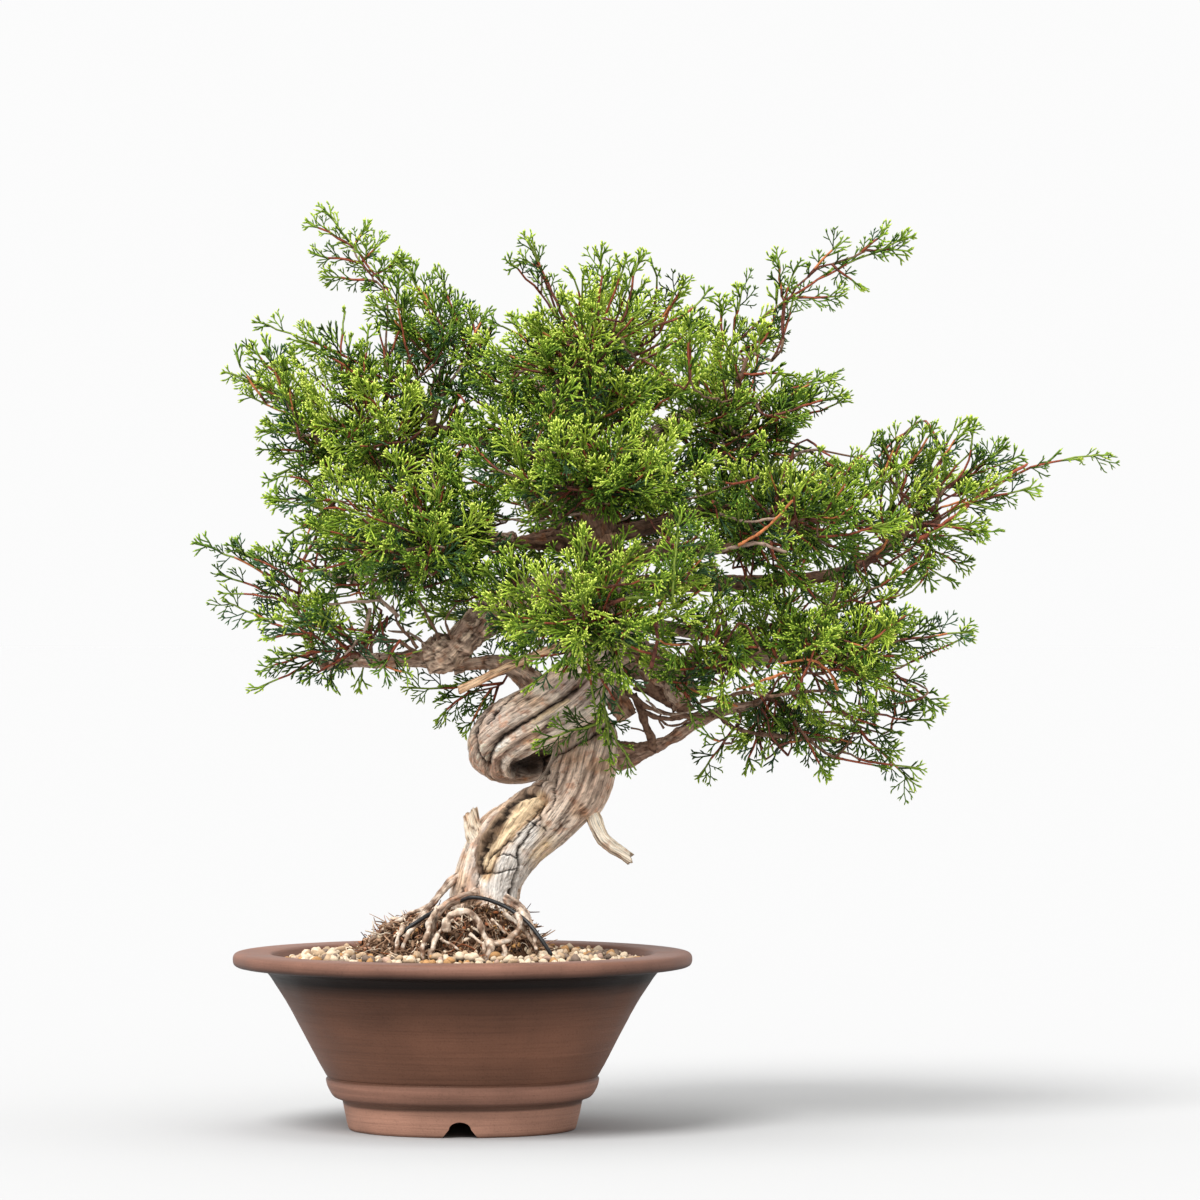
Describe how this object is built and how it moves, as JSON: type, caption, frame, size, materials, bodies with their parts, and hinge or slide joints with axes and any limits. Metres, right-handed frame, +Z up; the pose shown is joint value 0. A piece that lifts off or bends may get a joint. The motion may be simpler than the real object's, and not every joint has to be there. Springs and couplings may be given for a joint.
{
  "type": "juniper bonsai in a training pot",
  "caption": "Juniper bonsai with a corkscrew trunk, deadwood stubs and an open crown of scale-foliage pads, on a root mound in a round wide-lipped clay pot.",
  "frame": {"origin": "on the table, under the middle of the whole tree's bounding box; the pot's axis is 93.5 mm to the left of it", "axes": "+Z up from the underside of the foot ring, +X to the viewer's right seen from the front of the tree, +Y to the back"},
  "size_m": [0.437, 0.27, 0.445],
  "materials": {
    "pot": "matte",
    "gravel": "matte",
    "root_mound": "matte",
    "bark": "matte",
    "deadwood": "matte",
    "foliage": "matte",
    "strap": "satin"
  },
  "bodies": {
    "root": {"bough_back": "bark", "bough_back_low": "bark", "bough_centre_front": "bark", "bough_far_right": "bark", "bough_front": "bark", "bough_knot": "bark", "bough_left": "bark", "bough_left_back": "bark", "bough_left_end": "bark", "bough_left_front": "bark", "bough_left_link": "bark", "bough_left_top": "bark", "bough_right": "bark", "bough_right_back": "bark", "bough_right_low": "bark", "bough_right_top": "bark", "bough_right_under": "bark", "bough_right_upper": "bark", "bough_upper_left": "bark", "foliage_back_low": "foliage", "foliage_centre_back": "foliage", "foliage_centre_front": "foliage", "foliage_centre_low": "foliage", "foliage_far_right": "foliage", "foliage_front": "foliage", "foliage_left_back": "foliage", "foliage_left_front": "foliage", "foliage_left_low": "foliage", "foliage_left_top": "foliage", "foliage_right": "foliage", "foliage_right_back": "foliage", "foliage_right_bottom": "foliage", "foliage_right_low": "foliage", "foliage_right_low_back": "foliage", "foliage_right_top": "foliage", "foliage_sprig": "foliage", "foliage_top_back": "foliage", "foliage_top_front": "foliage", "jin_left": "deadwood", "jin_right": "deadwood", "pot": "pot", "root_back": "bark", "root_front": "bark", "root_left": "bark", "root_mound": "root_mound", "root_right": "bark", "shoot_far_right": "foliage", "shoot_left": "foliage", "shoot_left_low": "foliage", "shoot_left_top": "foliage", "shoot_right_top": "foliage", "soil": "gravel", "stub_cut": "bark", "stub_left": "deadwood", "tie_strap": "strap", "trunk": "bark"}
  },
  "joints": []
}
